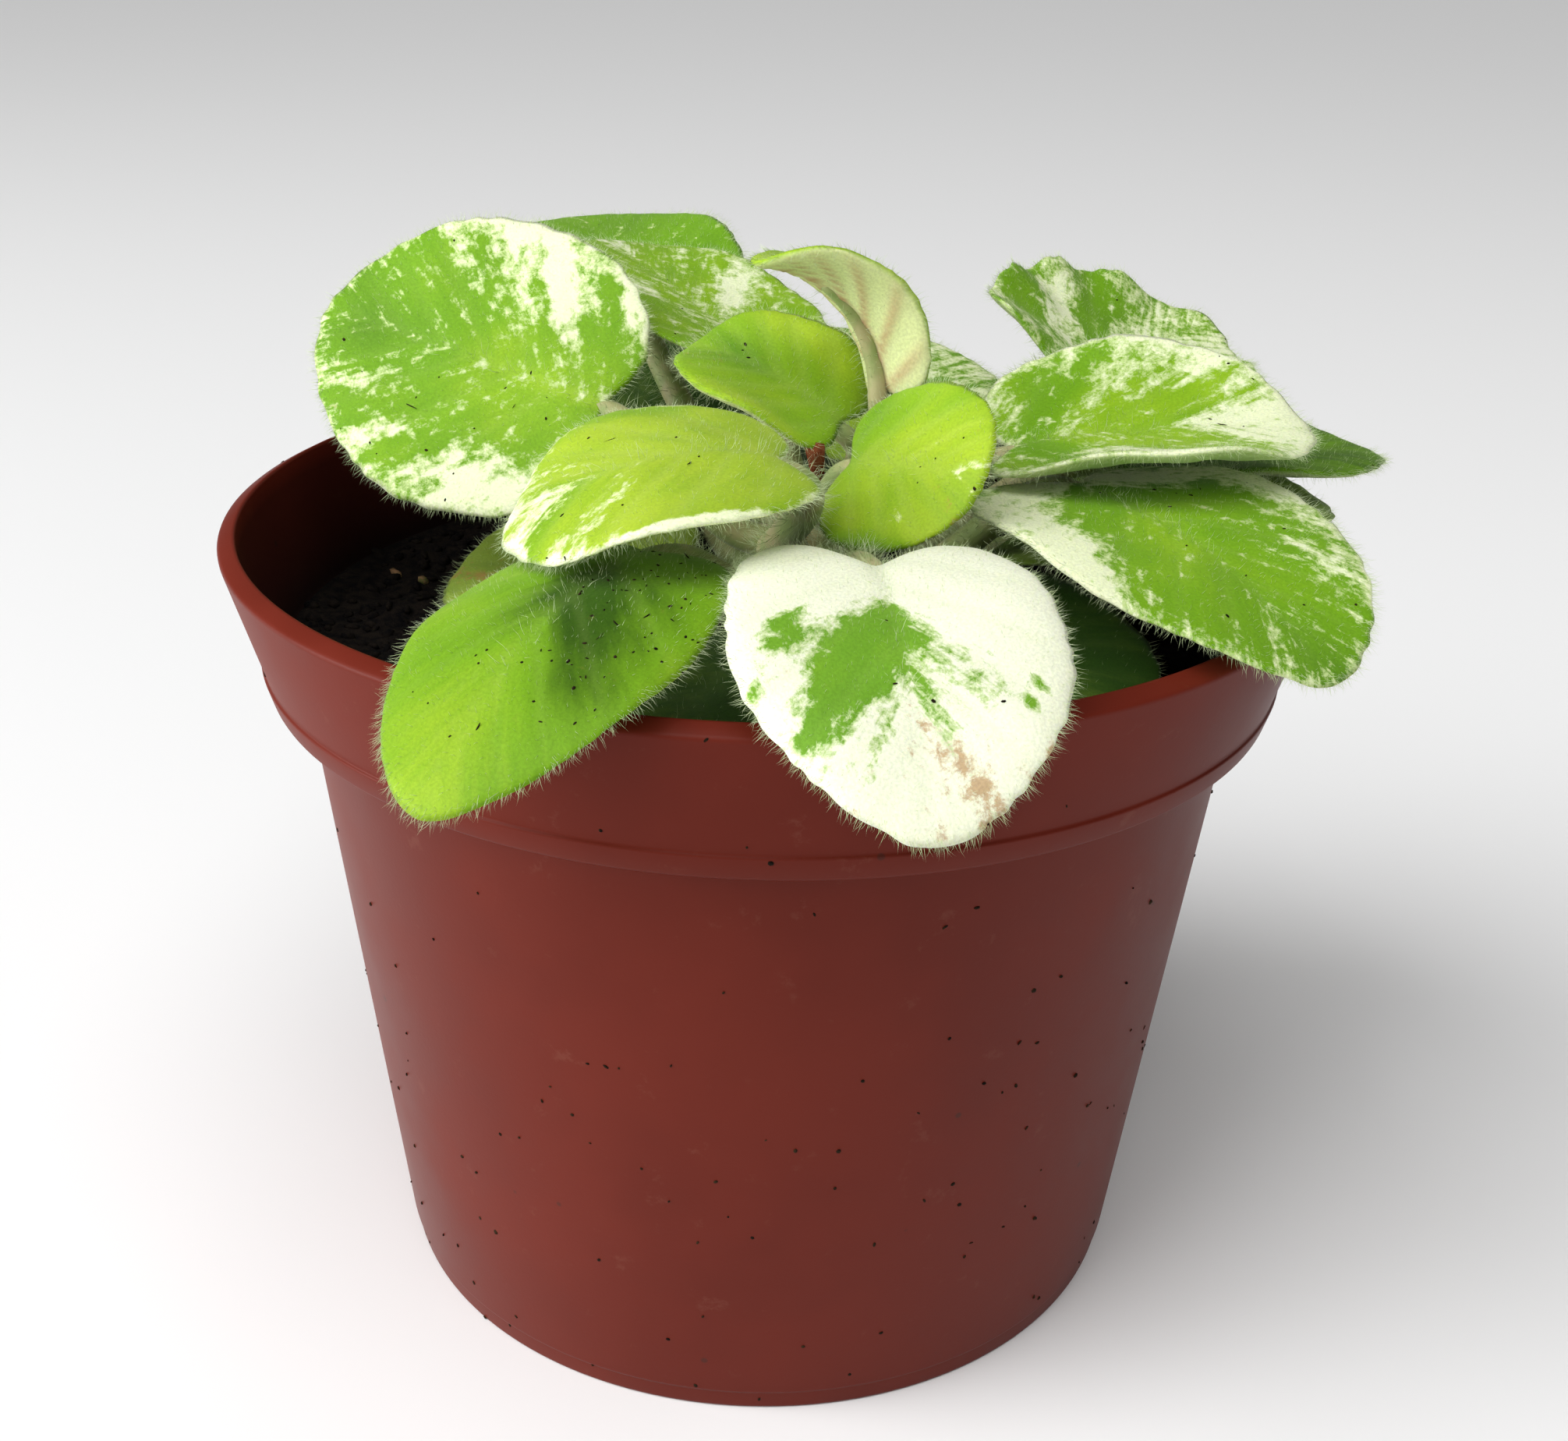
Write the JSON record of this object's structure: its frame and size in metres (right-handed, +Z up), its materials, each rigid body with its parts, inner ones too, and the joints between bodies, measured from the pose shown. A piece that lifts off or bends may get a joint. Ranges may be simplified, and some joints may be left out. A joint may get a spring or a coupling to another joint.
{
  "type": "potted african violet",
  "caption": "Young african violet, a low rosette of variegated heart-shaped leaves on petioles from a short crown, growing in peat in a round plastic flower pot.",
  "frame": {"origin": "middle of the pot's flat underside", "axes": "+Z up along the pot's axis, -Y towards the side that the picture shows"},
  "size_m": [0.0977, 0.0982, 0.0909],
  "materials": {
    "terracotta_plastic": "satin moulded polypropylene, terracotta coloured",
    "peat": "dark moist peat with clods and scraps",
    "stem": "hairy green-brown stem",
    "leaf_variegated": "velvety green with cream mottling",
    "leaf_lime": "velvety yellow-green young leaf",
    "leaf_green": "velvety plain green",
    "leaf_cream": "velvety cream white with a green heart",
    "leaf_shaded": "velvety dark green older leaf"
  },
  "bodies": {
    "root": {"pot": "terracotta_plastic", "soil": "peat", "crown": "stem", "leaf_left_large": "leaf_variegated", "leaf_left_lime": "leaf_lime", "leaf_front_green": "leaf_green", "leaf_front_cream": "leaf_cream", "leaf_centre_left": "leaf_lime", "leaf_centre_right": "leaf_lime", "leaf_back_wavy": "leaf_variegated", "leaf_right_cupped": "leaf_variegated", "leaf_right_front": "leaf_variegated", "leaf_centre_folded": "leaf_lime", "leaf_back_cream": "leaf_variegated", "leaf_back_green": "leaf_green", "leaf_right_dark": "leaf_green", "leaf_low_front_right": "leaf_shaded", "leaf_low_front": "leaf_shaded", "leaf_low_left": "leaf_shaded", "leaf_low_back_right": "leaf_shaded", "leaf_low_right": "leaf_shaded", "leaf_low_back_left": "leaf_shaded", "leaf_low_back": "leaf_shaded", "leaf_bud_front": "leaf_lime", "leaf_bud_back": "leaf_lime"}
  },
  "joints": []
}
